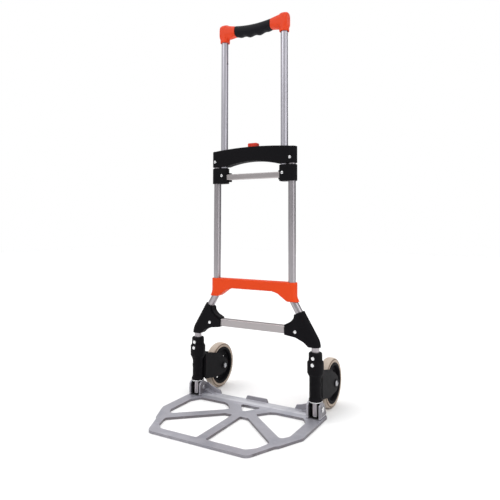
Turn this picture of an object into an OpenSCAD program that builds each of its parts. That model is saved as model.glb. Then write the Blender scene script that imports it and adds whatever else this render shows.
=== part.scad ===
// Folding hand truck: telescopic handle, folding toe plate, swing-in wheels.
// Millimetres, +Z up, X across, the toe plate points to -Y.
// Origin: the ground point on the centre line, straight below the legs.

/* [Toe plate] */
// Width of the toe plate, side to side
plate_w = 390; // [386:1:396]
// Reach of the toe plate in front of the legs
plate_front = 255.6; // [250:0.2:262]
// Length of the toe plate behind the legs
plate_rear = 24.4; // [24:0.1:25]
// Thickness of the plate's floor and spokes
plate_t = 6; // [5:0.5:6.5]
// Height of the toe plate's fold axis above the ground
pivot_z = 28; // [27.5:0.1:28.5]

/* [Frame] */
// Outside diameter of the round tubes
tube_d = 19; // [18.4:0.1:19]
// Wall of the round tubes
tube_wall = 1.5; // [1.2:0.1:2]
// Distance from the centre line to each wheel leg
leg_x = 174; // [172:0.5:175]
// Distance from the centre line to each lower stile
low_x = 112; // [111.8:0.1:112.4]
// Distance from the centre line to each sliding stile
up_x = 90.6; // [90.2:0.1:90.8]
// Angle of the flared part of the lower tubes
flare_a = 31; // [30:0.5:32]
// Bend radius of the lower tubes
bend_r = 35; // [32:1:38]
// Height of the upper end of the flare
flare_z = 296; // [294:1:298]

/* [Handle] */
// Height of the top of the raised handle
handle_top = 1020; // [1000:5:1040]
// Stroke of the telescopic handle
travel = 250; // [200:5:253]
// Depth of each finger hollow under the grip
finger_h = 2; // [1:0.5:2.5]

/* [Wheels] */
// Wheel diameter
wheel_d = 125; // [122:1:126]
// Distance of the wheel axle behind the legs
axle_y = 102; // [101:0.5:104]
// Radius of the axle bolt
axle_r = 4; // [3.5:0.1:4]

/* [Hidden] */
$fn = 48;

tr = tube_d / 2;
ti = tr - tube_wall;
fit = 0.05;          // gap of a fixed fit
run = 0.3;           // gap of a sliding fit
wrap = 13.3;         // outer radius of the plastic round a tube
web = 13;            // half depth of the flat plastic between the tubes
orange = "#E4471F";
red = "#C93A2C";
black = "#1E1E21";
alu = "#A9A9AE";
steel = "#C9C9CC";
tyre_c = "#B9AEA2";

lock_z = 660;        // height of the lock pins
hous_lo = 627;       // underside of the lock housing's ends
hous_hi = 676;       // crown of the lock housing
blk_lo = 582;        // underside of the sliding blocks
blk_hi = 624;        // top of the sliding blocks
cross_z = 209.5;     // height of the lower cross tube's centre
wheel_x = leg_x - 3; // mid plane of each wheel
wr = wheel_d / 2;

// ---------- helpers ----------
function xy(p) = [p[0], p[1]];
function unit(v) = v / norm(v);
function arc_corner(a, b, c, r, n) =
  let (u = unit(a - b), v = unit(c - b),
       h = acos(max(-1, min(1, u * v))) / 2,
       o = b + unit(u + v) * (r / sin(h)),
       s = b + u * (r / tan(h)) - o,
       e = b + v * (r / tan(h)) - o,
       a0 = atan2(s[1], s[0]), d = atan2(e[1], e[0]) - a0,
       a1 = d > 180 ? d - 360 : d < -180 ? d + 360 : d)
  [for (i = [0:n]) o + r * [cos(a0 + a1 * i / n), sin(a0 + a1 * i / n)]];
// closed outline from [x, y, corner radius] points
function rpoly(p, n = 6) = [for (i = [0:len(p) - 1])
  let (b = p[i], k = len(p))
  each ((len(b) < 3 || b[2] == 0) ? [xy(b)]
    : arc_corner(xy(p[(i + k - 1) % k]), xy(b), xy(p[(i + 1) % k]), b[2], n))];
function flipx(p) = [for (i = [len(p) - 1:-1:0]) [-p[i][0], p[i][1], len(p[i]) > 2 ? p[i][2] : 0]];

module left() mirror([1, 0, 0]) children();
module both() { children(); mirror([1, 0, 0]) children(); }
module box(x0, x1, y0, y1, z0, z1) translate([x0, y0, z0]) cube([x1 - x0, y1 - y0, z1 - z0]);
module zcyl(r, z0, z1, x = 0, y = 0) translate([x, y, z0]) cylinder(r = r, h = z1 - z0);
module xcyl(r, x0, x1, y, z) translate([x0, y, z]) rotate([0, 90, 0]) cylinder(r = r, h = x1 - x0);
module ycyl(r, y0, y1, x, z) translate([x, y1, z]) rotate([90, 0, 0]) cylinder(r = r, h = y1 - y0);
module slab_y(pts, y0, y1) translate([0, y1, 0]) rotate([90, 0, 0]) linear_extrude(y1 - y0) polygon(pts);
module slab_x(pts, x0, x1) translate([x0, 0, 0]) rotate([90, 0, 90]) linear_extrude(x1 - x0) polygon(pts);

// ---------- the bent leg ----------
flare_l = (leg_x - low_x - 2 * bend_r * (1 - cos(flare_a))) / sin(flare_a);
knee_z = flare_z - 2 * bend_r * sin(flare_a) - flare_l * cos(flare_a);
lap = 0.8;           // how far a straight length runs into its bend
swell = 0.03;        // how much thicker the tube is in a bend
// solid that follows the centre line of the right leg
module leg_path(r, top, bot) {
  zcyl(r, flare_z - lap, top, low_x);
  translate([low_x + bend_r, 0, flare_z]) rotate([90, 0, 0]) rotate([0, 0, 180])
    rotate_extrude(angle = flare_a) translate([bend_r, 0]) circle(r = r + swell);
  translate([leg_x - bend_r * (1 - cos(flare_a)), 0, knee_z + bend_r * sin(flare_a)])
    rotate([0, -flare_a, 0]) translate([0, 0, -lap]) cylinder(r = r, h = flare_l + 2 * lap);
  translate([leg_x - bend_r, 0, knee_z]) rotate([90, 0, 0])
    rotate_extrude(angle = flare_a) translate([bend_r, 0]) circle(r = r + swell);
  zcyl(r, bot, knee_z + lap, leg_x);
}
leg_bot = 12;
module leg_tube() color(alu) difference() {
  leg_path(tr, lock_z, leg_bot);
  leg_path(ti, lock_z + 1, leg_bot - 1);
  xcyl(4.1, leg_x - 15, leg_x + 15, 0, pivot_z);
  for (z = [135, 150]) ycyl(2.1, -15, 15, leg_x, z);
  ycyl(2.1, -15, 15, low_x, 641);
  ycyl(1.6, 0, 15, low_x, 316);
}
module leg_end_cap() color(steel) translate([leg_x, 0, 0]) rotate_extrude()
  polygon([[0, 9.9], [6.5, 9.9], [8.8, 10.8], [9.5, 12], [ti - fit, 12], [ti - fit, 19], [0, 19]]);

// ---------- lower bridge ----------
bridge_half = [[60, 302.5, 10], [76, 298, 16], [93, 286, 10], [103, 279.5, 6], [116, 279.5], [112, 296], [112, 327]];
module lower_bridge() color(orange) difference() {
  union() {
    slab_y(rpoly(concat(bridge_half, flipx(bridge_half))), -web, web);
    both() intersection() {
      leg_path(wrap, 400, 100);
      box(90, 140, -20, 20, 279.5, 327);
    }
  }
  both() leg_path(tr + fit + swell, 400, 100);
  for (i = [-3:2]) box(i * 32 + 1.2, i * 32 + 30.8, -9.8, 15, 306, 323.4);
  both() ycyl(1.6, 0, 15, low_x, 316);
}
module bridge_screws() color(steel) both() {
  ycyl(1.5, tr - tube_wall - 2, wrap + 0.1, low_x, 316);
  ycyl(3.6, wrap, wrap + 2.2, low_x, 316);
}

// ---------- gussets and lower cross tube ----------
module cross_box(e, x) slab_x(rpoly([[-9 - e, cross_z - 9.5 - e, 2.5], [9 + e, cross_z - 9.5 - e, 2.5],
  [9 + e, cross_z + 9.5 + e, 2.5], [-9 - e, cross_z + 9.5 + e, 2.5]]), -x, x);
gusset_web = [[131.5, 253.8], [168.8, 191.4], [174, 174], [159.5, 174, 3], [148, 184, 12],
  [126, 193.5, 30], [95, 197.5, 2], [94, 222, 1.5], [111, 230.5, 16], [120, 240, 10], [120.5, 249, 2]];
gusset_clip = [[120.5, 249], [148, 261], [195, 190], [195, 174], [159.5, 174], [130, 180], [110, 230]];
module gusset(s) color(black) difference() {
  union() {
    slab_y(rpoly(gusset_web), min(0, s * web), max(0, s * web));
    intersection() {
      leg_path(wrap, 400, 100);
      slab_y(gusset_clip, min(0, s * 20), max(0, s * 20));
    }
  }
  leg_path(tr + fit, 400, 100);
  cross_box(fit, 137.2);
  ycyl(2.1, -20, 20, 126, 208);
}
module gusset_screws() color(steel) both() {
  ycyl(2, -web, web, 126, 208);
  ycyl(4, -web - 2.4, -web, 126, 208);
  ycyl(3.8, web, web + 2.6, 126, 208);
}
module lower_cross_tube() color(alu) difference() {
  cross_box(0, 137);
  cross_box(-1.5, 138);
  both() ycyl(2.1, -15, 15, 126, 208);
}

// ---------- lock housing ----------
crown_r = 1102;
arch_r = 282;
module lock_housing(s) color(black) difference() {
  intersection() {
    union() {
      box(-low_x, low_x, min(0, s * web), max(0, s * web), hous_lo, 700);
      both() intersection() {
        zcyl(wrap, hous_lo, 700, low_x);
        box(90, 140, min(0, s * 20), max(0, s * 20), hous_lo - 1, 701);
      }
    }
    translate([0, 20, hous_hi - crown_r]) rotate([90, 0, 0]) cylinder(r = crown_r, h = 40, $fn = 360);
  }
  translate([0, 20, 638 - arch_r]) rotate([90, 0, 0]) cylinder(r = arch_r, h = 40, $fn = 180);
  box(-77.5, 77.5, -10.6, 10.6, 648, 670.5);
  zcyl(5, 641, 649);
  box(-13.9, 13.9, -6.9, 6.9, 665, 690);
  both() {
    zcyl(tr + 0.35, 600, 700, up_x);
    zcyl(11.05, 631, 665, up_x);
    zcyl(tr + fit, 600, lock_z + 0.1, low_x);
    xcyl(3.25, 77, 82, 0, lock_z);
    ycyl(2.1, -20, 20, low_x, 641);
    ycyl(3.7, -20, -web, low_x, 641);
    ycyl(3.9, web, 20, low_x, 641);
  }
}
module lock_housing_screws() color(steel) both() {
  ycyl(2, -web, web, low_x, 641);
  ycyl(3.6, -web - 2.2, -web, low_x, 641);
  ycyl(3.8, web, web + 2.4, low_x, 641);
}
module guide_bushes() color("#3A3A3D") both() difference() {
  zcyl(11, 631.2, 664.8, up_x);
  zcyl(tr + run, 630, 666, up_x);
  xcyl(3.3, up_x - 14, up_x, 0, lock_z);
}

// ---------- release button, its spring and the two lock pins ----------
module release_button() color(red) difference() {
  union() {
    slab_y(rpoly([[-13.5, 671], [13.5, 671], [13.5, 686, 2.5], [-13.5, 686, 2.5]]), -6.5, 6.5);
    box(-16, 16, -2, 2, 654, 670.2);
    box(-13.4, 13.4, -2, 2, 670, 671.5);
  }
  both() {
    ycyl(1.7, -5, 5, 13, lock_z);
    ycyl(1.7, -5, 5, 7.6, lock_z + 5.4);
    slab_y([[14.2, lock_z + 1.2], [8.8, lock_z + 6.6], [6.4, lock_z + 4.2], [11.8, lock_z - 1.2]], -5, 5);
  }
}
spring_n = 90;       // rings along the spring's wire
spring_turns = 5;
spring_lo = 641.1;
spring_hi = 653.9;
module button_spring() color(steel) polyhedron(
  [for (i = [0:spring_n]) let (t = i / spring_n, a = 360 * spring_turns * t,
      z = spring_lo + 0.55 + (spring_hi - spring_lo - 1.1) * t)
    for (k = [0:5]) let (c = 3.3 + 0.5 * cos(60 * k)) [c * cos(a), c * sin(a), z + 0.5 * sin(60 * k)]],
  concat([[for (k = [0:5]) k]], [[for (k = [5:-1:0]) spring_n * 6 + k]],
    [for (i = [0:spring_n - 1]) for (k = [0:5]) let (m = (k + 1) % 6)
      [i * 6 + k, i * 6 + 6 + k, i * 6 + 6 + m, i * 6 + m]]));
module lock_pin() color(steel) difference() {
  union() {
    xcyl(2.95, 20, up_x - tr - 0.35, 0, lock_z);
    box(9, 25, -5, 5, lock_z - 4, lock_z + 4);
  }
  box(8, 21.5, -2.35, 2.35, lock_z - 5, lock_z + 5);
}
module lock_peg() color(steel) ycyl(1.45, -4.9, 4.9, 13, lock_z);

// ---------- collars, knuckles, washers ----------
module collar() color(black) difference() {
  translate([leg_x, 0, 0]) rotate_extrude() polygon([[tr + fit, 108.2], [17.5, 108.2], [20.2, 113.5],
    [20.2, 138.5], [16.8, 143.5], [16.5, 159.5], [14.8, 161.8], [tr + fit, 161.8]]);
  ycyl(5.2, -30, -18.4, leg_x, 135);
  ycyl(5.2, -30, -15.4, leg_x, 150);
  ycyl(5.2, 18.4, 30, leg_x, 135);
  ycyl(5.2, 15.4, 30, leg_x, 150);
  for (z = [135, 150]) ycyl(2.1, -30, 30, leg_x, z);
}
module collar_rivets() color(steel) both() {
  ycyl(2, -18.6, 18.6, leg_x, 135);
  ycyl(2, -15.6, 15.6, leg_x, 150);
  for (s = [-1, 1]) translate([leg_x, 0, 0]) scale([1, s, 1]) {
    ycyl(4.3, 18.4, 20.6, 0, 135);
    ycyl(4.3, 15.4, 17.8, 0, 150);
  }
}
module knuckle() color(black) difference() {
  intersection() {
    box(leg_x - 12, leg_x + 12.2, -10.5, 12, 6.8, 44.2);
    xcyl(21.2, leg_x - 20, leg_x + 20, 0, pivot_z);
  }
  zcyl(tr + fit, 9.8, 50, leg_x);
  box(leg_x - tr - fit, leg_x + tr + fit, -20, 0, 9.8, 50);
  xcyl(4.1, leg_x - 20, leg_x + 20, 0, pivot_z);
}
module thrust_washers() color(steel) both() difference() {
  zcyl(16.8, 44.5, 46.8, leg_x);
  zcyl(tr + fit, 44, 48, leg_x);
}

// ---------- sliding handle ----------
tube_hi = handle_top - 15;
grip_z = handle_top - 26;
module upper_tube() color(alu) difference() {
  zcyl(tr, blk_lo + 4, tube_hi, up_x);
  zcyl(ti, blk_lo + 3, tube_hi + 1, up_x);
  for (z = [lock_z, lock_z + travel + 3]) xcyl(3.1, up_x - 15, up_x, 0, z);
  ycyl(2.1, -15, 0, up_x, 603);
}
corner_pts = [[104.4, -48, 2], [104.4, 0, 6], [82, 0, 8], [67, -4.5, 10], [54, -8.6, 0], [54, -37, 0],
  [63, -37.5, 3], [72, -41, 5], [77, -48, 1]];
module handle_corner() color(orange) difference() {
  translate([0, 0, handle_top]) slab_y(rpoly(corner_pts), -13.2, 13.2);
  zcyl(tr + fit, handle_top - 60, tube_hi + 0.1, up_x);
  xcyl(8.55, 50, 79.2, 0, grip_z);
}
module handle_core() color(alu) difference() {
  xcyl(8.5, -79, 79, 0, grip_z);
  xcyl(7, -80, 80, 0, grip_z);
}
grip_n = 54;
function grip_top(x) = handle_top - 13.4 + 4.6 * pow(x / 54, 2);
function grip_bot(x) = handle_top - 44.4 + 5.5 * pow(x / 54, 2) + finger_h * cos(360 * x / 31);
module handle_grip() color(black) difference() {
  slab_y(concat([for (i = [-grip_n:2:grip_n]) [i * 53.9 / grip_n, grip_bot(i)]],
    [for (i = [grip_n:-6:-grip_n]) [i * 53.9 / grip_n, grip_top(i)]]), -13.2, 13.2);
  xcyl(8.55, -60, 60, 0, grip_z);
}
module slider() color(black) difference() {
  union() {
    intersection() {
      union() {
        box(up_x, low_x, -web, web, blk_lo, blk_hi);
        zcyl(wrap, blk_lo, blk_hi, up_x);
        zcyl(wrap, blk_lo, blk_hi, low_x);
      }
      slab_y([[76.8, blk_lo + 4], [81.8, blk_lo - 1], [127, blk_lo - 1], [127, blk_hi + 1],
        [81.8, blk_hi + 1], [76.8, blk_hi - 4]], -20, 20);
    }
    slab_y(rpoly([[73, 587, 2], [92, 587], [92, 611], [73, 611, 2]]), -1, 12.4);
  }
  zcyl(tr + run, 500, 700, low_x);
  zcyl(tr + fit, blk_lo + 3.9, 700, up_x);
  box(60, 79.7, -6.6, 6.6, 591.4, 606.6);
  ycyl(2.1, -20, -5, up_x, 603);
  ycyl(3.7, -20, -web, up_x, 603);
}
module bar_box(e, x) slab_x(rpoly([[-6.5 - e, 591.5 - e, 2], [6.5 + e, 591.5 - e, 2],
  [6.5 + e, 606.5 + e, 2], [-6.5 - e, 606.5 + e, 2]]), -x, x);
module slider_cross_tube() color(alu) difference() {
  bar_box(0, 79.5);
  bar_box(-1.4, 80);
}
module slider_screws() color(steel) both() {
  ycyl(2, -web, -6.5, up_x, 603);
  ycyl(3.6, -web - 2.2, -web, up_x, 603);
}

// ---------- toe plate ----------
pw = plate_w / 2;
pf = -plate_front;
outline_half = [[pw, plate_rear, 5], [pw, -123, 14], [165.5, -184, 3], [159, -189.5, 4], [129.5, pf, 18]];
side_hole = [[75, -17, 8], [150, -17, 8], [166, -42, 8], [166, -128, 14], [152, -150, 10], [48, -62, 5], [38, -50, 5], [60, -24, 8]];
front_hole = [[11.5, -82, 3], [33, -82, 5], [140, -176, 5], [140, -186, 6], [130, -215, 12], [112, -232, 10], [11.5, -232, 5]];
rear_hole = [[-30, -9, 4], [30, -9, 4], [0, -53, 7]];
ear_r = 16;
function ear_tan(y, z) = let (d = norm([y, z - pivot_z]), a = atan2(z - pivot_z, y) + acos(ear_r / d))
  [ear_r * cos(a), pivot_z + ear_r * sin(a)];
module ear(x0, x1, z) difference() {
  union() {
    slab_x([[-14, 1], [plate_rear, 1], [plate_rear, z], ear_tan(plate_rear, z), [0, pivot_z + 5],
      [-14, pivot_z + 5]], x0, x1);
    intersection() {
      xcyl(ear_r, x0, x1, 0, pivot_z);
      box(x0 - 1, x1 + 1, -14, 40, 0, 80);
    }
  }
  xcyl(4.05, x0 - 1, x1 + 1, 0, pivot_z);
}
module toe_plate() color(alu) {
  difference() {
    union() {
      linear_extrude(plate_t) polygon(rpoly(concat(outline_half, flipx(outline_half))));
      slab_x([[-10, plate_t - 1], [plate_rear, plate_t - 1], [plate_rear, 9.6], [-3.5, 9.6], [-10, plate_t]], -155.5, 155.5);
      slab_y(rpoly([[-34, 8], [34, 8], [28.5, 19.5, 2], [-28.5, 19.5, 2]]), plate_rear - 4, plate_rear);
      both() slab_y([[108.5, 8], [156, 8], [156, 34], [153, 33.5], [142, 28], [126, 22.5], [114.5, 20.5]], plate_rear - 4, plate_rear);
      both() slab_y([[120, 8], [156, 8], [156, 20]], 8, plate_rear);
      both() { ear(155.2, 160, 33.5); ear(187, 191.6, 14); }
    }
    linear_extrude(40, center = true) polygon(rpoly(rear_hole));
    both() linear_extrude(40, center = true) {
      polygon(rpoly(side_hole));
      polygon(rpoly(front_hole));
    }
    // clearance pocket between the hinge ears, under the knuckle
    both() box(160.6, 186.4, -14, 40, plate_t - 0.5, plate_t + 5);
  }
}
module pivot_pin() color(steel) {
  xcyl(4, 154, 192.5, 0, pivot_z);
  xcyl(5.6, 153, 155.2, 0, pivot_z);
  xcyl(6.4, 191.6, 193.4, 0, pivot_z);
}

// ---------- wheel forks ----------
axle_z = wr;
arm_pts = [[9, 47.5, 0], [30, 44.5, 6], [62, 38.5, 20], [100, axle_z - 20.9, 0], [112.5, 80.9, 0], [74, 104, 20],
  [26, 115.5, 6], [9, 115.5, 0]];
web_pts = [[6, 51], [30, 51, 4], [36, 62, 6], [36, 100, 6], [33, 112, 3], [6, 112]];
module wheel_fork() color(black) difference() {
  union() {
    translate([leg_x, 0, 0]) rotate_extrude() polygon([[11.05, 47], [16.4, 47], [16.4, 51.5], [14.4, 54.5],
      [13.9, 60], [13.9, 80], [14.7, 83], [14.7, 88], [13.9, 91], [13.9, 98], [16.8, 107.8], [11.05, 107.8]]);
    for (s = [-1, 1]) {
        slab_x(rpoly(arm_pts), wheel_x + min(s * 13.8, s * 17.3), wheel_x + max(s * 13.8, s * 17.3));
        xcyl(21, wheel_x + min(s * 13.8, s * 17.3), wheel_x + max(s * 13.8, s * 17.3), axle_y, axle_z);
        xcyl(10.5, wheel_x + min(s * 13.8, s * 18.4), wheel_x + max(s * 13.8, s * 18.4), axle_y, axle_z);
    }
    slab_x(rpoly(web_pts), wheel_x - 15, wheel_x + 15);
  }
  zcyl(11.05, 40, 120, leg_x);
  zcyl(21, 107.8, 140, leg_x);
  xcyl(axle_r + fit, wheel_x - 30, wheel_x + 30, axle_y, axle_z);
}
module swing_bushes() color("#D8D4C8") for (z = [[47.1, 62], [92, 107.7]]) difference() {
  zcyl(11, z[0], z[1], leg_x);
  zcyl(tr + 0.06, 40, 120, leg_x);
}
module axle_bolt() color(steel) {
  xcyl(axle_r, wheel_x - 23, wheel_x + 18.6, axle_y, axle_z);
  translate([wheel_x + 18.4, axle_y, axle_z]) rotate([0, 90, 0]) rotate_extrude()
    polygon([[0, 0], [7, 0], [7, 1.2], [5.6, 3], [3.4, 4.2], [0, 4.6]]);
}
module axle_nut() color(steel) translate([wheel_x - 18.4, axle_y, axle_z]) rotate([0, -90, 0]) difference() {
  union() {
    cylinder(r = 7.2, h = 3.6, $fn = 6);
    rotate_extrude() polygon([[0, 3], [5.6, 3], [5.2, 4.4], [3.4, 5.8], [0, 6.3]]);
  }
  translate([0, 0, -1]) cylinder(r = axle_r + 0.02, h = 5.8);
}

// ---------- wheels ----------
module at_axle() translate([wheel_x, axle_y, axle_z]) rotate([0, 90, 0]) children();
tyre_half = [[50.5, 9.4], [51.7, 10.9], [53.2, 12], [55.6, 12.3], [58.8, 11.4], [60.9, 9.4], [wr - 0.5, 6.4], [wr, 2.6]];
module tyre() color(tyre_c) at_axle() rotate_extrude($fn = 96)
  polygon(concat(tyre_half, [for (i = [len(tyre_half) - 1:-1:0]) [tyre_half[i][0], -tyre_half[i][1]]]));
hub_half = [[8.05, 12.8], [13.5, 12.8], [15.5, 3], [42, 1.8], [45, 12.4], [51.2, 12.4], [51.2, 10.6], [50.4, 9.5]];
module hub() color(black) at_axle() difference() {
  rotate_extrude($fn = 96)
    polygon(concat(hub_half, [for (i = [len(hub_half) - 1:-1:0]) [hub_half[i][0], -hub_half[i][1]]]));
  for (a = [0:72:288]) rotate([0, 0, a - 16]) translate([32.5, 0, -10]) cylinder(r = 6.6, h = 20);
}
module wheel_bearing() color(steel) at_axle() difference() {
  cylinder(r = 8, h = 27.2, center = true);
  cylinder(r = axle_r + fit, h = 30, center = true);
}

left() leg_tube();  // leg_tube_left
leg_tube();  // leg_tube_right
left() leg_end_cap();  // leg_end_cap_left
leg_end_cap();  // leg_end_cap_right
lower_bridge();
bridge_screws();
left() gusset(-1);  // gusset_front_left
gusset(-1);  // gusset_front_right
left() gusset(1);  // gusset_rear_left
gusset(1);  // gusset_rear_right
gusset_screws();
lower_cross_tube();
lock_housing(-1);  // lock_housing_front
lock_housing(1);  // lock_housing_rear
lock_housing_screws();
guide_bushes();
left() collar();  // collar_left
collar();  // collar_right
collar_rivets();
left() knuckle();  // knuckle_left
knuckle();  // knuckle_right
thrust_washers();
left() upper_tube();  // upper_tube_left
upper_tube();  // upper_tube_right
left() handle_corner();  // handle_corner_left
handle_corner();  // handle_corner_right
handle_core();
handle_grip();
left() slider();  // slider_left
slider();  // slider_right
slider_cross_tube();
slider_screws();
release_button();
button_spring();
left() { lock_pin(); lock_peg(); }  // lock_pin_left
union() { lock_pin(); lock_peg(); }  // lock_pin_right
toe_plate();
left() pivot_pin();  // pivot_pin_left
pivot_pin();  // pivot_pin_right
left() wheel_fork();  // wheel_fork_left
wheel_fork();  // wheel_fork_right
left() swing_bushes();  // swing_bushes_left
swing_bushes();  // swing_bushes_right
left() axle_bolt();  // axle_bolt_left
axle_bolt();  // axle_bolt_right
left() axle_nut();  // axle_nut_left
axle_nut();  // axle_nut_right
left() tyre();  // tyre_left
tyre();  // tyre_right
left() hub();  // hub_left
hub();  // hub_right
left() wheel_bearing();  // wheel_bearing_left
wheel_bearing();  // wheel_bearing_right
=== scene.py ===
import bpy, bmesh, math
from mathutils import Matrix, Vector


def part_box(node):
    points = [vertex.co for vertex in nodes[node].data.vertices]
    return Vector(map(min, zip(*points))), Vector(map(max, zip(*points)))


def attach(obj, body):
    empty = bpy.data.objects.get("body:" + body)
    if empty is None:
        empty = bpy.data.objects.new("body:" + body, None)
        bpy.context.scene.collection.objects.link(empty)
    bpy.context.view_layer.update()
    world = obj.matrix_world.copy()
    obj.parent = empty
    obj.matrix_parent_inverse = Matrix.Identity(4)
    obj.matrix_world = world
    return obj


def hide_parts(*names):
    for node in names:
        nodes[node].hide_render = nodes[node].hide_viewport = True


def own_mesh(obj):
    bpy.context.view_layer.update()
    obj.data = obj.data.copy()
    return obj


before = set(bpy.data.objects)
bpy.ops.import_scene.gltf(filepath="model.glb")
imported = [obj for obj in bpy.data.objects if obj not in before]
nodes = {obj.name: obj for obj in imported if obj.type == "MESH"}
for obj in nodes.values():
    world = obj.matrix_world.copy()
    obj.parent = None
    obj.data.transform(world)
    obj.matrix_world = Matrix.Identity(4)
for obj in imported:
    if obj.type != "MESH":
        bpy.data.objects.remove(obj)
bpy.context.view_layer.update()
scene = bpy.context.scene
sin, cos, pi, rad = math.sin, math.cos, math.pi, math.radians
mm = 0.001

# ------------------------------------------------------------------ camera
az, pitch, roll = rad(29.14), rad(2.77), rad(0.146)
fw = Vector((-sin(az) * cos(pitch), cos(az) * cos(pitch), sin(pitch)))
r = Vector((cos(az), sin(az), 0))
u = r.cross(fw)
r2, u2 = r * cos(roll) + u * sin(roll), u * cos(roll) - r * sin(roll)
rot = Matrix((r2, u2, -fw)).transposed().to_4x4()
cam = bpy.data.objects.new("camera", bpy.data.cameras.new("camera"))
scene.collection.objects.link(cam)
cam.matrix_world = Matrix.Translation((0.6443, -1.1494, 0.4697)) @ rot
cam.data.lens, cam.data.sensor_width = 36.08, 36
cam.data.shift_x, cam.data.shift_y = -0.0090, -0.0981
cam.data.clip_start, cam.data.clip_end = 0.05, 50
scene.camera = cam
scene.view_settings.view_transform = "Standard"
scene.view_settings.look = "None"

# ------------------------------------------------------------------ floor and light
bpy.ops.mesh.primitive_plane_add(size=14, location=(0, 0, -0.0002))
floor = bpy.context.object
floor.name = "floor"


def area(name, loc, target, size, power, size_y=None):
    d = bpy.data.lights.new(name, "AREA")
    d.energy, d.size = power, size
    if size_y:
        d.shape, d.size_y = "RECTANGLE", size_y
    o = bpy.data.objects.new(name, d)
    scene.collection.objects.link(o)
    o.location = loc
    o.rotation_mode = "QUATERNION"
    o.rotation_quaternion = (Vector(target) - Vector(loc)).to_track_quat("-Z", "Y")
    return o


area("key", (-1.3, -2.2, 2.4), (0, 0, 0.45), 1.6, 12)
area("strip", (1.88, -0.34, 0.75), (0, 0, 0.6), 1.0, 9.5, 2.2)
area("back", (0.3, 2.4, 1.9), (0, 0, 0.4), 1.4, 8)
sd = bpy.data.lights.new("sky", "SUN")
sd.energy, sd.angle = 2.45, rad(120)
so = bpy.data.objects.new("sky", sd)
scene.collection.objects.link(so)

world = bpy.data.worlds.new("world")
scene.world = world
world.use_nodes = True
wt = world.node_tree
wt.nodes.clear()
out = wt.nodes.new("ShaderNodeOutputWorld")
mixs = wt.nodes.new("ShaderNodeMixShader")
lp = wt.nodes.new("ShaderNodeLightPath")
white = wt.nodes.new("ShaderNodeBackground")
white.inputs[0].default_value = (1, 1, 1, 1)
white.inputs[1].default_value = 1.0
soft = wt.nodes.new("ShaderNodeBackground")
soft.inputs[1].default_value = 0.50
tc = wt.nodes.new("ShaderNodeTexCoord")
dot = wt.nodes.new("ShaderNodeVectorMath")
dot.operation = "DOT_PRODUCT"
dot.inputs[1].default_value = Vector((-0.45, -0.70, 0.55)).normalized()
mr = wt.nodes.new("ShaderNodeMapRange")
mr.inputs["From Min"].default_value = -0.9
mr.inputs["From Max"].default_value = 0.7
ramp = wt.nodes.new("ShaderNodeValToRGB")
ramp.color_ramp.elements[0].color = (0.10, 0.10, 0.115, 1)
ramp.color_ramp.elements[1].color = (1, 1, 1, 1)
L = wt.links.new
L(tc.outputs["Generated"], dot.inputs[0])
L(dot.outputs["Value"], mr.inputs["Value"])
L(mr.outputs["Result"], ramp.inputs[0])
L(ramp.outputs[0], soft.inputs[0])
L(lp.outputs["Is Camera Ray"], mixs.inputs[0])
L(soft.outputs[0], mixs.inputs[1])
L(white.outputs[0], mixs.inputs[2])
L(mixs.outputs[0], out.inputs[0])


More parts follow.
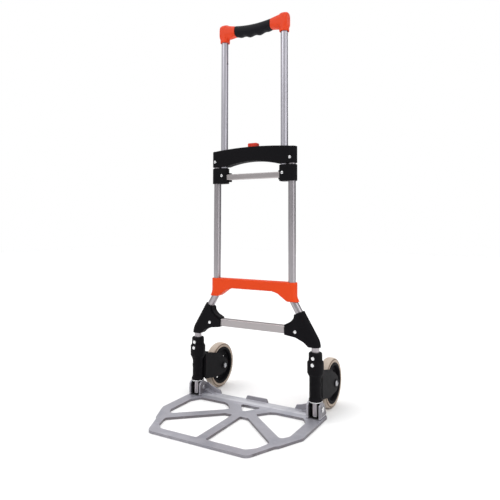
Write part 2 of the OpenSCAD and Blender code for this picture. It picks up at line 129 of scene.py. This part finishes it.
# ------------------------------------------------------------------ materials
class Mat:
    """A node material: self.p is its Principled shader, self.n() adds a node, self.l() links."""

    def __init__(self, name):
        self.m = bpy.data.materials.new(name)
        self.m.use_nodes = True
        self.t = self.m.node_tree
        self.p = self.t.nodes["Principled BSDF"]
        tc = self.n("ShaderNodeTexCoord")
        self.co = tc.outputs["Object"]
        self.nrm = tc.outputs["Normal"]

    def n(self, kind, **kw):
        x = self.t.nodes.new(kind)
        for k, v in kw.items():
            setattr(x, k, v)
        return x

    def l(self, a, b):
        self.t.links.new(a, b)

    def set(self, **kw):
        for k, v in kw.items():
            self.p.inputs[k.replace("_", " ")].default_value = v

    def xyz(self, vec):
        x = self.n("ShaderNodeSeparateXYZ")
        self.l(vec, x.inputs[0])
        return x.outputs

    def span(self, v, a, b, lo=0.0, hi=1.0):
        """v from a to b becomes lo to hi, clamped"""
        x = self.n("ShaderNodeMapRange")
        for k, q in (("From Min", a), ("From Max", b), ("To Min", lo), ("To Max", hi)):
            x.inputs[k].default_value = q
        self.l(v, x.inputs["Value"])
        return x.outputs["Result"]

    def scaled(self, s):
        x = self.n("ShaderNodeMapping")
        x.inputs["Scale"].default_value = s
        self.l(self.co, x.inputs["Vector"])
        return x.outputs[0]

    def noise(self, scale, detail=3, rough=0.5, vec=None):
        x = self.n("ShaderNodeTexNoise")
        x.inputs["Scale"].default_value = scale
        x.inputs["Detail"].default_value = detail
        x.inputs["Roughness"].default_value = rough
        self.l(vec or self.co, x.inputs["Vector"])
        return x.outputs["Fac"]

    def ramp(self, fac, stops):
        x = self.n("ShaderNodeValToRGB")
        e = x.color_ramp.elements
        while len(e) < len(stops):
            e.new(0.5)
        for el, (pos, c) in zip(e, stops):
            el.position = pos
            el.color = (*c, 1) if len(c) == 3 else c
        self.l(fac, x.inputs[0])
        return x.outputs[0]

    def math(self, op, a, b=0.5, c=None):
        x = self.n("ShaderNodeMath", operation=op)
        for i, v in enumerate((a, b, c)):
            if v is None:
                continue
            if isinstance(v, (int, float)):
                x.inputs[i].default_value = v
            else:
                self.l(v, x.inputs[i])
        return x.outputs[0]

    def mix(self, fac, a, b, blend="MIX"):
        x = self.n("ShaderNodeMix", data_type="RGBA", blend_type=blend)
        for sock, v in ((x.inputs[0], fac), (x.inputs[6], a), (x.inputs[7], b)):
            if isinstance(v, (int, float)):
                sock.default_value = v
            elif isinstance(v, tuple):
                sock.default_value = (*v, 1)
            else:
                self.l(v, sock)
        return x.outputs[2]

    def bump(self, *layers):
        """layers of (height, strength, distance in metres)"""
        prev = None
        for h, s, d in layers:
            x = self.n("ShaderNodeBump")
            x.inputs["Strength"].default_value = s
            x.inputs["Distance"].default_value = d
            self.l(h, x.inputs["Height"])
            if prev:
                self.l(prev, x.inputs["Normal"])
            prev = x.outputs[0]
        self.l(prev, self.p.inputs["Normal"])

    def edges(self, lo=0.50, hi=0.56):
        """1 on convex edges, 0 elsewhere"""
        g = self.n("ShaderNodeNewGeometry").outputs["Pointiness"]
        x = self.n("ShaderNodeMapRange")
        x.inputs["From Min"].default_value = lo
        x.inputs["From Max"].default_value = hi
        self.l(g, x.inputs["Value"])
        return x.outputs["Result"]


def plastic(name, col, rough, grain=2600, grain_h=0.35, wear=0.12, lighten=1.6, spec=0.3, tint=None):
    m = Mat(name)
    m.set(Specular_IOR_Level=spec)
    big = m.noise(22, 4)
    fine = m.noise(grain, 2)
    c = m.mix(m.math("MULTIPLY", big, 0.35), tuple(x * 0.90 for x in col), tuple(min(1, x * 1.12) for x in col))
    wornmask = m.math("MULTIPLY", m.edges(0.505, 0.60), m.math("MULTIPLY", m.noise(90, 3), wear))
    c = m.mix(wornmask, c, tuple(min(1, x * lighten + 0.012) for x in col))
    if tint:
        c = tint(m, c)
    m.l(c, m.p.inputs["Base Color"])
    rr = m.math("MULTIPLY_ADD", m.noise(60, 4), 0.14, rough - 0.07)
    m.l(rr, m.p.inputs["Roughness"])
    m.bump((fine, grain_h, 0.00012), (m.noise(240, 3), 0.12, 0.0003))
    return m.m


def metal(name, col, rough, axis=None, lines=0.25, metallic=1.0, mottle=0.12, grain=0.0, tint=None):
    m = Mat(name)
    m.set(Metallic=metallic)
    big = m.noise(14, 5)
    c = m.mix(big, tuple(x * (1 - mottle) for x in col), tuple(min(1, x * (1 + mottle * 0.6)) for x in col))
    if tint:
        c = tint(m, c)
    m.l(c, m.p.inputs["Base Color"])
    layers = []
    if axis is not None:
        s = [900.0, 900.0, 900.0]
        s[axis] = 6.0
        ln = m.noise(1.0, 4, 0.6, m.scaled(s))
        rr = m.math("MULTIPLY_ADD", ln, 0.16, rough - 0.08)
        layers.append((ln, lines, 0.00006))
    else:
        rr = m.math("MULTIPLY_ADD", m.noise(120, 5, 0.6), 0.22, rough - 0.11)
    m.l(rr, m.p.inputs["Roughness"])
    if grain:
        layers.append((m.noise(1500, 3, 0.6), grain, 0.00015))
        layers.append((m.noise(130, 4, 0.55), grain * 0.5, 0.0006))
    if layers:
        m.bump(*layers)
    return m.m


def cast_painted_light(m, c):
    """painted light and shade on the cast plate: painted shade on the walls, painted light and shade on the front
    faces, a painted highlight along the rail top, faint darker bluish patches of painted shade, painted sheen streaks
    """
    n, q = m.xyz(m.nrm), m.xyz(m.co)
    wall_shade = m.span(m.math("ABSOLUTE", n[2]), 0.55, 0.9, 1.0, 0.0)
    front = m.span(n[1], -0.9, -0.3, 1.0, 0.0)
    rim = m.span(q[1], -0.2500, -0.2400, 0.35, 1.0)      # the front edge catches the light
    # painted shade: upright walls darkened towards a dark brown-grey, less near the front edge
    c = m.mix(m.math("MULTIPLY", m.math("MULTIPLY", wall_shade, rim), 0.84), c, (0.115, 0.100, 0.106))
    # painted light: front-facing faces above the plate top brought back to a mid grey
    c = m.mix(m.math("MULTIPLY", front, m.math("MULTIPLY", m.span(q[2], 0.0062, 0.0075), 0.55)), c, (0.42, 0.41, 0.45))
    # painted shade: low front-facing faces, such as the rail's front slope, darkened
    low = m.math("MULTIPLY", m.span(n[1], -0.35, -0.55), m.span(q[2], 0.0095, 0.0085))
    c = m.mix(m.math("MULTIPLY", low, 0.35), c, (0.16, 0.15, 0.165))
    # painted highlight: faces at the rail-top height lightened
    rail_highlight = m.math("MULTIPLY", m.span(q[2], 0.0085, 0.0094), m.span(q[2], 0.0115, 0.0105))
    c = m.mix(m.math("MULTIPLY", rail_highlight, 0.60), c, (0.72, 0.72, 0.76))
    # painted shade: faint darker bluish patches scattered by noise
    shade_patch = m.span(m.noise(15, 4, 0.6), 0.50, 0.66)
    c = m.mix(m.math("MULTIPLY", shade_patch, 0.34), c, (0.235, 0.245, 0.295))
    shine = m.span(m.noise(9, 4, 0.65, m.scaled((1.0, 2.6, 1.0))), 0.55, 0.72)
    c = m.mix(m.math("MULTIPLY", shine, 0.30), c, (0.60, 0.60, 0.65))
    return c


def tyre_tint(m, c):
    """pale tread, tan sidewalls, a brown line at the shoulder; grime in the tread"""
    q = m.xyz(m.co)
    dy, dz = m.math("SUBTRACT", q[1], 0.102), m.math("SUBTRACT", q[2], 0.0625)
    rad_ = m.math("SQRT", m.math("ADD", m.math("MULTIPLY", dy, dy), m.math("MULTIPLY", dz, dz)))
    side = m.span(rad_, 0.0612, 0.0598)
    line = m.math("MULTIPLY", m.span(rad_, 0.0568, 0.0578), m.span(rad_, 0.0602, 0.0590))
    c = m.mix(m.math("MULTIPLY", side, 0.45), c, (0.36, 0.275, 0.205))
    c = m.mix(m.math("MULTIPLY", line, 0.80), c, (0.085, 0.055, 0.040))
    return m.mix(m.math("MULTIPLY", m.span(m.noise(260, 4), 0.5, 0.7), 0.16), c, (0.22, 0.17, 0.14))


MATS = {
    "tube_upper": metal("tube_upper", (0.60, 0.585, 0.645), 0.33, axis=2),
    "tube_lower": metal("tube_lower", (0.40, 0.375, 0.395), 0.34, axis=2),
    "cross": metal("cross", (0.43, 0.400, 0.405), 0.38, axis=0),
    "cast": metal("cast", (0.43, 0.425, 0.47), 0.44, metallic=0.50, mottle=0.16, grain=0.40, tint=cast_painted_light),
    "orange": plastic("orange", (0.76, 0.056, 0.0030), 0.50, spec=0.22),
    "corner": plastic("corner", (0.76, 0.052, 0.0080), 0.44, spec=0.28, wear=0.2),
    "red": plastic("red", (0.60, 0.034, 0.014), 0.42, spec=0.25),
    "black": plastic("black", (0.0034, 0.0030, 0.0042), 0.58, wear=0.20, lighten=4.0, spec=0.09),
    "grip": plastic("grip", (0.0036, 0.0038, 0.0066), 0.50, grain=1500, grain_h=0.6, wear=0.1, lighten=2.5, spec=0.15),
    "tyre": plastic("tyre", (0.56, 0.475, 0.40), 0.66, grain=1200, grain_h=0.5, wear=0.2, lighten=0.75, spec=0.2, tint=tyre_tint),
    "bolt": metal("bolt", (0.40, 0.40, 0.42), 0.34, mottle=0.06),
    "steel": metal("steel", (0.78, 0.78, 0.79), 0.24, mottle=0.06),
    "nylon": plastic("nylon", (0.55, 0.53, 0.48), 0.45),
}


def use(obj, key):
    obj.data.materials.clear()
    obj.data.materials.append(MATS[key])


KEYS = [
    ("leg_tube", "tube_lower"), ("upper_tube", "tube_upper"), ("lower_cross_tube", "cross"),
    ("slider_cross_tube", "cross"), ("handle_core", "cross"), ("toe_plate", "cast"),
    ("lower_bridge", "orange"), ("handle_corner", "corner"), ("release_button", "red"),
    ("gusset_front", "black"), ("gusset_rear", "black"), ("lock_housing_front", "black"),
    ("lock_housing_rear", "black"), ("collar_left", "black"), ("collar_right", "black"),
    ("knuckle", "black"), ("slider_left", "black"), ("slider_right", "black"),
    ("wheel_fork", "black"), ("hub", "black"), ("handle_grip", "grip"), ("tyre", "tyre"),
    ("swing_bushes", "nylon"), ("guide_bushes", "nylon"), ("axle_bolt", "bolt"), ("axle_nut", "bolt"),
]
for name, o in nodes.items():
    key = next((k for p, k in KEYS if name.startswith(p)), "steel")
    use(o, key)

# ------------------------------------------------------------------ softened edges on the CAD nodes
BEVEL = {
    "lower_bridge": 1.6, "gusset_front": 1.6, "gusset_rear": 1.6, "lock_housing_front": 1.6,
    "lock_housing_rear": 1.6, "slider_left": 1.5, "slider_right": 1.5, "toe_plate": 1.3,
    "release_button": 0.9, "knuckle": 0.9, "wheel_fork": 1.0, "lower_cross_tube": 0.5,
    "slider_cross_tube": 0.5, "axle_nut": 0.4, "collar_left": 0.5, "collar_right": 0.5,
}
for name, o in nodes.items():
    for poly in o.data.polygons:
        poly.use_smooth = True
    w = o.modifiers.new("weld", "WELD")
    w.merge_threshold = 0.00001
    width = next((v for p, v in BEVEL.items() if name.startswith(p)), None)
    if width:
        d = o.modifiers.new("planar", "DECIMATE")
        d.decimate_type, d.angle_limit = "DISSOLVE", rad(0.6)
        b = o.modifiers.new("bevel", "BEVEL")
        b.width, b.segments, b.limit_method, b.angle_limit = width * mm, 2, "ANGLE", rad(38)
        b.use_clamp_overlap = True
    n = o.modifiers.new("normals", "WEIGHTED_NORMAL")
    n.keep_sharp = True

# >>> pieces
# ------------------------------------------------------------------ mesh tools (inputs in millimetres)
def rpoly(p, n=8):
    """closed outline from (x, y, corner radius) points"""
    res = []
    for i, b in enumerate(p):
        q = Vector(b[:2])
        if len(b) < 3 or not b[2]:
            res.append(tuple(q))
            continue
        a, c = Vector(p[i - 1][:2]), Vector(p[(i + 1) % len(p)][:2])
        v1, v2 = (a - q).normalized(), (c - q).normalized()
        h = math.acos(max(-1, min(1, v1.dot(v2)))) / 2
        o = q + (v1 + v2).normalized() * (b[2] / sin(h))
        s, e = q + v1 * (b[2] / math.tan(h)) - o, q + v2 * (b[2] / math.tan(h)) - o
        a0 = math.atan2(s.y, s.x)
        d = (math.atan2(e.y, e.x) - a0 + pi) % (2 * pi) - pi
        res += [(o.x + b[2] * cos(a0 + d * k / n), o.y + b[2] * sin(a0 + d * k / n)) for k in range(n + 1)]
    return res


def obj_from(name, bm):
    bmesh.ops.recalc_face_normals(bm, faces=bm.faces)
    me = bpy.data.meshes.new(name)
    bm.to_mesh(me)
    bm.free()
    o = bpy.data.objects.new(name, me)
    scene.collection.objects.link(o)
    return o


def prism(name, pts, a, b, axis="y"):
    """an outline pushed from a to b along an axis: x takes (y, z), y takes (x, z), z takes (x, y)"""
    put = {"x": lambda p, t: (t, p[0], p[1]), "y": lambda p, t: (p[0], t, p[1]), "z": lambda p, t: (p[0], p[1], t)}[axis]
    bm = bmesh.new()
    lo = [bm.verts.new(Vector(put(p, a)) * mm) for p in pts]
    hi = [bm.verts.new(Vector(put(p, b)) * mm) for p in pts]
    bm.faces.new(lo)
    bm.faces.new(hi[::-1])
    for i in range(len(pts)):
        j = (i + 1) % len(pts)
        bm.faces.new((lo[i], lo[j], hi[j], hi[i]))
    return obj_from(name, bm)


def loft(name, rings, closed=False):
    """rings of equal length, each a list of points"""
    bm = bmesh.new()
    vs = [[bm.verts.new(Vector(p) * mm) for p in ring] for ring in rings]
    k = len(vs[0])
    for i in range(len(vs) if closed else len(vs) - 1):
        A, B = vs[i], vs[(i + 1) % len(vs)]
        for j in range(k):
            bm.faces.new((A[j], A[(j + 1) % k], B[(j + 1) % k], B[j]))
    if not closed:
        bm.faces.new(vs[0][::-1])
        bm.faces.new(vs[-1])
    return obj_from(name, bm)


def lathe(name, prof, centre, axis, seg=96, wave=None):
    """closed profile of (radius, along) turned about an axis through centre"""
    rings = []
    for i in range(seg):
        t = 2 * pi * i / seg
        ring = []
        for k, (rr, h) in enumerate(prof):
            if wave:
                rr = rr + wave(k, t)
            c, s = rr * cos(t), rr * sin(t)
            v = {"x": (h, c, s), "z": (c, s, h), "y": (c, h, s)}[axis]
            ring.append([v[m] + centre[m] for m in range(3)])
        rings.append(ring)
    return loft(name, rings, closed=True)


def rod(name, radius, a, b, seg=40):
    a, b = Vector(a), Vector(b)
    d = (b - a).normalized()
    q = d.to_track_quat("Z", "Y")
    return loft(name, [[p + q @ Vector((radius * cos(2 * pi * i / seg), radius * sin(2 * pi * i / seg), 0)) for i in range(seg)] for p in (a, b)])


def sweep(name, radius, path, seg=40):
    """round bar along points in the XZ plane"""
    rings = []
    for i, p in enumerate(path):
        p = Vector(p)
        t = (Vector(path[min(i + 1, len(path) - 1)]) - Vector(path[max(i - 1, 0)])).normalized()
        side = Vector((0, 1, 0))
        n = t.cross(side)
        rings.append([p + side * radius * cos(2 * pi * k / seg) + n * radius * sin(2 * pi * k / seg) for k in range(seg)])
    return loft(name, rings)


def bake(o):
    """applies the modifiers"""
    dg = bpy.context.evaluated_depsgraph_get()
    bpy.context.view_layer.update()
    me = bpy.data.meshes.new_from_object(o.evaluated_get(dg))
    o.modifiers.clear()
    o.data = me
    return o


def boolean(o, others, op):
    for x in others:
        md = o.modifiers.new("b", "BOOLEAN")
        md.operation, md.object, md.solver = op, x, "MANIFOLD"
        bake(o)
        bpy.data.objects.remove(x)
    return o


def cut(o, *others):
    return boolean(o, others, "DIFFERENCE")


def join(o, *others):
    return boolean(o, others, "UNION")


def finish_piece(o, key, body, replaces=(), bevel=0, seg=3, angle=35, subsurf=0):
    if bevel:
        b = o.modifiers.new("bevel", "BEVEL")
        b.width, b.segments, b.limit_method, b.angle_limit = bevel * mm, seg, "ANGLE", rad(angle)
        b.use_clamp_overlap = True
        bake(o)
    if subsurf:
        s = o.modifiers.new("sub", "SUBSURF")
        s.levels = s.render_levels = subsurf
        bake(o)
    bm = bmesh.new()
    bm.from_mesh(o.data)
    bmesh.ops.remove_doubles(bm, verts=bm.verts, dist=0.00001)
    for f in bm.faces:
        f.smooth = True
    for e in bm.edges:
        e.smooth = len(e.link_faces) == 2 and e.calc_face_angle(0) < rad(32)
    bm.to_mesh(o.data)
    bm.free()
    n = o.modifiers.new("normals", "WEIGHTED_NORMAL")
    n.keep_sharp = True
    use(o, key)
    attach(o, body)
    if replaces:
        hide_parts(*replaces)
    return o


def mirrored(o, name):
    """a copy on the other side of the centre plane"""
    me = o.data.copy()
    me.transform(Matrix.Scale(-1, 4, (1, 0, 0)))
    me.flip_normals()
    c = bpy.data.objects.new(name, me)
    scene.collection.objects.link(c)
    return c


def pair(name, make):
    right = make(name + "_right")
    return right, mirrored(right, name + "_left")

# ------------------------------------------------------------------ sizes shared with the frame
low_x, up_x, leg_x, flare_z, bend_r, flare = 112, 90.6, 174, 296, 35, rad(31)
flare_l = (leg_x - low_x - 2 * bend_r * (1 - cos(flare))) / sin(flare)
knee_z = flare_z - 2 * bend_r * sin(flare) - flare_l * cos(flare)
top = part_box("handle_corner_right")[1].z / mm
lock_z = 660


def leg_path(hi, lo, n=12):
    p = [(low_x, 0, hi), (low_x, 0, flare_z + 1)]
    p += [(low_x + bend_r * (1 - cos(flare * i / n)), 0, flare_z - bend_r * sin(flare * i / n)) for i in range(n + 1)]
    p += [(leg_x - bend_r * (1 - cos(flare * i / n)), 0, knee_z + bend_r * sin(flare * i / n)) for i in range(n, -1, -1)]
    p += [(leg_x, 0, knee_z - 1), (leg_x, 0, lo)]
    return p


def mirror_pts(p):
    return [(-q[0], *q[1:]) for q in reversed(p)]


# ------------------------------------------------------------------ soft shapes
def edged(o, width, seg=3, ang=50):
    md = o.modifiers.new("b", "BEVEL")
    md.width, md.segments, md.limit_method, md.angle_limit = width * mm, seg, "ANGLE", rad(ang)
    md.use_clamp_overlap = False
    return bake(o)


def common(o, keep):
    return boolean(o, [keep], "INTERSECT")


def superring(c, h, plane, at, n=3.2, k=56):
    """a squarish ring: centre c and half sizes h in the plane's two directions"""
    ring = []
    for i in range(k):
        t = 2 * pi * i / k
        a = c[0] + h[0] * math.copysign(abs(cos(t)) ** (2 / n), cos(t))
        b = c[1] + h[1] * math.copysign(abs(sin(t)) ** (2 / n), sin(t))
        ring.append({"x": (at, a, b), "z": (a, b, at)}[plane])
    return ring


# ------------------------------------------------------------------ handle corners
def make_corner(name):
    def hi(x):
        for (x0, z0), (x1, z1) in zip(CT, CT[1:]):
            if x <= x1:
                return z0 + (z1 - z0) * max(0, x - x0) / (x1 - x0)
        return CT[-1][1]
    CT = [(54.4, -8.9), (70, -4.9), (86, -1.3), (92, -0.9), (98, -1.2)]
    rings = []
    for x in [54.4 + 42 * i / 14 for i in range(15)] + [98.0, 99.6, 100.8, 101.7, 102.3, 102.6]:
        z1 = hi(x) - 0.9 if x <= 98 else -6.1 + math.sqrt(max(0, 5.2 ** 2 - (x - 98) ** 2))
        z0 = -37.4 - 2.6 * max(0, min(1, (x - 58) / 14))
        hy = 13.2 - 1.0 * max(0, min(1, (x - 60) / 30)) if x < 98 else 12.2 - 0.12 * (x - 98) ** 1.6
        rings.append(superring((0, top + (z1 + z0) / 2), (hy, (z1 - z0) / 2), "x", x))
    o = loft(name, rings)
    rings = []
    for z in [-50.0 + 42 * i / 14 for i in range(15)] + [-6, -4.2, -2.8, -1.8]:
        x1 = 102.7 if z < -6 else 97.7 + math.sqrt(max(0, 5 ** 2 - (z + 6) ** 2))
        hy = 13.1 if z < -8 else 13.1 - 0.25 * (z + 8) ** 1.5
        x0 = 78.0
        rings.append(superring(((x1 + x0) / 2, 0), ((x1 - x0) / 2, hy - 0.6), "z", top + z, 2.5))
    join(o, loft(name + "_v", rings))
    md = o.modifiers.new("r", "REMESH")
    md.mode, md.voxel_size = "VOXEL", 0.0008
    bake(o)
    md = o.modifiers.new("s", "SMOOTH")
    md.factor, md.iterations = 0.5, 6
    bake(o)
    # socket mouth round the tube, and the seats of the tube and the core
    for q in (rod(name + "_m", 11.0, (up_x, 0, top - 60), (up_x, 0, top - 44.5), 56),
              rod(name + "_t", 9.55, (up_x, 0, top - 60), (up_x, 0, top - 14.8), 48),
              rod(name + "_c", 8.55, (50, 0, top - 26), (79.3, 0, top - 26), 48)):
        md = o.modifiers.new("c", "BOOLEAN")
        md.operation, md.object, md.solver = "DIFFERENCE", q, "MANIFOLD"
        bake(o)
        bpy.data.objects.remove(q)
    return o


for o, s in zip(pair("corner_shell", make_corner), ("right", "left")):
    finish_piece(o, "corner", "handle", ["handle_corner_" + s])

# ------------------------------------------------------------------ hand grip
rings = []
for i in range(-110, 111):
    x = 53.7 * i / 110
    e = max(0.0, abs(x) - 52.2) / 1.5            # rounded ends
    up = -13.2 + 4.6 * (x / 54) ** 2 - 0.9 * e ** 2
    dn = -44.2 + 5.8 * (x / 54) ** 2 + 0.9 * e ** 2
    hol = 1.9 * cos(2 * pi * x / 30.5 - 0.7) * max(0.0, 1 - (abs(x) / 50) ** 6)
    zc, hz, hy = (up + dn) / 2, (up - dn) / 2, 13.0 - 0.9 * e ** 2
    ring = []
    for k in range(72):
        t = 2 * pi * k / 72
        c, s = cos(t), sin(t)
        n = 2.35
        yy = hy * math.copysign(abs(c) ** (2 / n), c)
        zz = hz * math.copysign(abs(s) ** (2 / n), s)
        if s < 0:
            zz += hol * (-s) ** 1.6
        ring.append((x, yy, top + zc + zz))
    rings.append(ring)
grip = loft("grip_sleeve", rings)
finish_piece(grip, "grip", "handle", ["handle_grip"])

# ------------------------------------------------------------------ lower bridge
BR = [(60, 302.5, 10), (76, 298, 16), (93, 286, 10), (103, 279.5, 6), (116, 279.5, 0), (112, 296, 0), (112, 327, 0)]


def make_bridge(name):
    o = edged(prism(name, rpoly(BR + mirror_pts(BR), 8), -13.05, 13.05), 1.7)
    for sx in (1, -1):
        p = leg_path(340, 250)
        bar = sweep(name + "_b", 13.35, p if sx > 0 else mirror_pts(p), 64)
        common(bar, prism(name + "_k", [(sx * 90, 279.5), (sx * 140, 279.5), (sx * 140, 327), (sx * 90, 327)], -20, 20))
        join(o, edged(bar, 1.5))
    for sx in (1, -1):
        p = leg_path(400, 100)
        cut(o, sweep(name + "_t", 9.6, p if sx > 0 else mirror_pts(p), 56))
    for i in range(-3, 3):
        cut(o, prism(name + "_p", [(i * 32 + 1.2, 306), (i * 32 + 30.8, 306), (i * 32 + 30.8, 323.4), (i * 32 + 1.2, 323.4)], -9.8, 15))
    return o


finish_piece(make_bridge("bridge_shell"), "orange", "frame", ["lower_bridge"])

# ------------------------------------------------------------------ gussets
GUS = [(131.5, 253.8, 2), (168.8, 191.4, 0), (174, 174, 0), (159.5, 174, 3.5), (148, 184, 14), (126, 193.5, 34),
       (95, 197.5, 3), (94, 222, 2), (111, 230.5, 18), (120, 240, 12), (120.5, 249, 3)]
GUS_IN = [(131.5, 253.8, 2), (168.8, 191.4, 0), (174, 174, 0), (159.5, 174, 3.5), (148, 184, 14), (126, 193.5, 34),
          (95, 197.5, 3), (94.2, 215.4, 3), (108.5, 222.5, 20), (122.5, 236.5, 14), (125.5, 250.0, 3)]
CLIP = [(120.5, 249), (148, 261), (195, 190), (195, 174), (159.5, 174), (130, 180), (110, 230)]


def make_gusset(side):
    def make(name):
        sg = -1 if side == "front" else 1
        o = edged(prism(name, rpoly(GUS, 8), 0, sg * 9.8), 0.7, 2)
        core = edged(prism(name + "_a", rpoly(GUS_IN, 8), 0, sg * 13.05), 2.0)
        bar = sweep(name + "_r", 13.35, leg_path(290, 150), 64)
        common(bar, prism(name + "_k", CLIP, 0, sg * 20))
        edged(bar, 1.1)
        join(o, core, bar)
        cut(o, sweep(name + "_t", 9.62, leg_path(400, 100), 56),
            prism(name + "_x", [(-9.1, 199.9), (9.1, 199.9), (9.1, 219.1), (-9.1, 219.1)], 60, 137.2, "x"),
            rod(name + "_s", 2.1, (126, -20, 208), (126, 20, 208), 24))
        return o
    return make


for side in ("front", "rear"):
    for o, s in zip(pair("gusset_shell_" + side, make_gusset(side)), ("right", "left")):
        finish_piece(o, "black", "frame", [f"gusset_{side}_{s}"])

# ------------------------------------------------------------------ lock housing
def make_housing(sg):
    def crown(x):
        return 676 - 1102 + math.sqrt(1102 ** 2 - x * x)

    def arch(x):
        return max(627.0, 638 - 282 + math.sqrt(282 ** 2 - x * x))
    xs = [-112 + 224 * i / 40 for i in range(41)]
    bs = [78 - 156 * i / 30 for i in range(31)]
    pts = [(x, crown(x)) for x in xs] + [(112, 627)] + [(x, arch(x)) for x in bs] + [(-112, 627)]
    name = "housing_shell_" + ("front" if sg < 0 else "rear")
    o = edged(prism(name, pts, 0, sg * 13.05), 1.8)
    for sx in (1, -1):
        bar = edged(rod(name + "_b", 13.35, (sx * 112, 0, 627), (sx * 112, 0, crown(112) - 0.1), 64), 1.8)
        common(bar, prism(name + "_k", [(sx * 90, 600), (sx * 140, 600), (sx * 140, 700), (sx * 90, 700)], 0, sg * 20))
        join(o, bar)
    cut(o, prism(name + "_c", [(-77.5, 648), (77.5, 648), (77.5, 670.5), (-77.5, 670.5)], -10.6, 10.6),
        prism(name + "_s", [(-13.9, 665), (13.9, 665), (13.9, 690), (-13.9, 690)], -6.9, 6.9))
    for sx in (1, -1):
        cut(o, rod(name + "_u", 9.85, (sx * up_x, 0, 600), (sx * up_x, 0, 700), 56),
            rod(name + "_v", 11.05, (sx * up_x, 0, 631), (sx * up_x, 0, 665), 48),
            rod(name + "_l", 9.6, (sx * low_x, 0, 600), (sx * low_x, 0, 660.1), 56),
            rod(name + "_h", 3.8, (sx * low_x, sg * 13, 641), (sx * low_x, sg * 20, 641), 32))
    return o


for sg, s in ((-1, "front"), (1, "rear")):
    finish_piece(make_housing(sg), "black", "frame", ["lock_housing_" + s])

# ------------------------------------------------------------------ sliding blocks
def make_slider(name):
    o = edged(prism(name, [(up_x, 582), (low_x, 582), (low_x, 624), (up_x, 624)], -13.05, 13.05), 1.6)
    for x in (up_x, low_x):
        join(o, edged(rod(name + "_b", 13.35, (x, 0, 582), (x, 0, 624), 64), 1.6))
    common(o, prism(name + "_k", [(76.8, 586), (81.8, 581), (127, 581), (127, 625), (81.8, 625), (76.8, 620)], -20, 20))
    join(o, edged(prism(name + "_g", [(73, 587), (92, 587), (92, 611), (73, 611)], -1, 12.4), 1.6))
    cut(o, rod(name + "_l", 9.8, (low_x, 0, 570), (low_x, 0, 640), 56),
        rod(name + "_u", 9.57, (up_x, 0, 585.9), (up_x, 0, 640), 56),
        prism(name + "_x", [(-6.6, 591.4), (6.6, 591.4), (6.6, 606.6), (-6.6, 606.6)], 60, 79.7, "x"),
        rod(name + "_s", 3.7, (up_x, -20, 603), (up_x, -13, 603), 32))
    return o


for o, s in zip(pair("slider_shell", make_slider), ("right", "left")):
    finish_piece(o, "black", "handle", ["slider_" + s])

# ------------------------------------------------------------------ wheels
wx, wy, wz, wr = 171, 102, 62.5, 62.5
TYRE = [(50.5, 9.6), (51.8, 11.2), (53.4, 12.1), (55.6, 12.35), (57.6, 12.0), (58.2, 11.3), (58.8, 11.5), (60.0, 10.6),
        (61.0, 9.2), (61.7, 7.4), (62.2, 5.0), (62.42, 2.6), (62.5, 0.0)]


def make_tyre(name):
    prof = [(a, b) for a, b in TYRE] + [(a, -b) for a, b in reversed(TYRE[:-1])]
    return lathe(name, prof, (wx, wy, wz), "x", 160)


HUB = [(8.05, 13.0), (12.6, 13.0), (13.5, 12.4), (14.4, 6.5), (16.5, 3.4), (20, 2.8), (39.5, 2.1), (42.5, 3.6), (44.6, 11.6), (45.4, 12.5),
       (50.0, 12.5), (51.0, 11.9), (51.2, 10.6), (50.4, 9.5)]


def make_hub(name):
    prof = HUB + [(a, -b) for a, b in reversed(HUB)]
    o = lathe(name, prof, (wx, wy, wz), "x", 120)
    for k in range(5):
        a = rad(72 * k - 16)
        y, z = wy + 32.5 * sin(a), wz - 32.5 * cos(a)
        cut(o, rod(name + "_h", 6.6, (wx - 20, y, z), (wx + 20, y, z), 36))
    return o


for o, s in zip(pair("tyre_ring", make_tyre), ("right", "left")):
    finish_piece(o, "tyre", "wheel_" + s, ["tyre_" + s])
for o, s in zip(pair("hub_disc", make_hub), ("right", "left")):
    finish_piece(o, "black", "wheel_" + s, ["hub_" + s])

# ------------------------------------------------------------------ button spring, shortened by the button
rings = []
for i in range(241):
    t = i / 240
    a = 2 * pi * 5 * t
    z = 641.65 + 11.7 * t
    rings.append([((3.3 + 0.5 * cos(2 * pi * k / 10)) * cos(a), (3.3 + 0.5 * cos(2 * pi * k / 10)) * sin(a), z + 0.5 * sin(2 * pi * k / 10))
                  for k in range(10)])
spring = finish_piece(loft("spring_coil", rings), "steel", "frame", ["button_spring"])
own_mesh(spring)

# ------------------------------------------------------------------ floor material
m = Mat("floor")
c = m.mix(m.noise(3, 2), (0.90, 0.90, 0.90), (0.93, 0.93, 0.93))
m.l(c, m.p.inputs["Base Color"])
m.set(Roughness=0.9)
floor.data.materials.append(m.m)
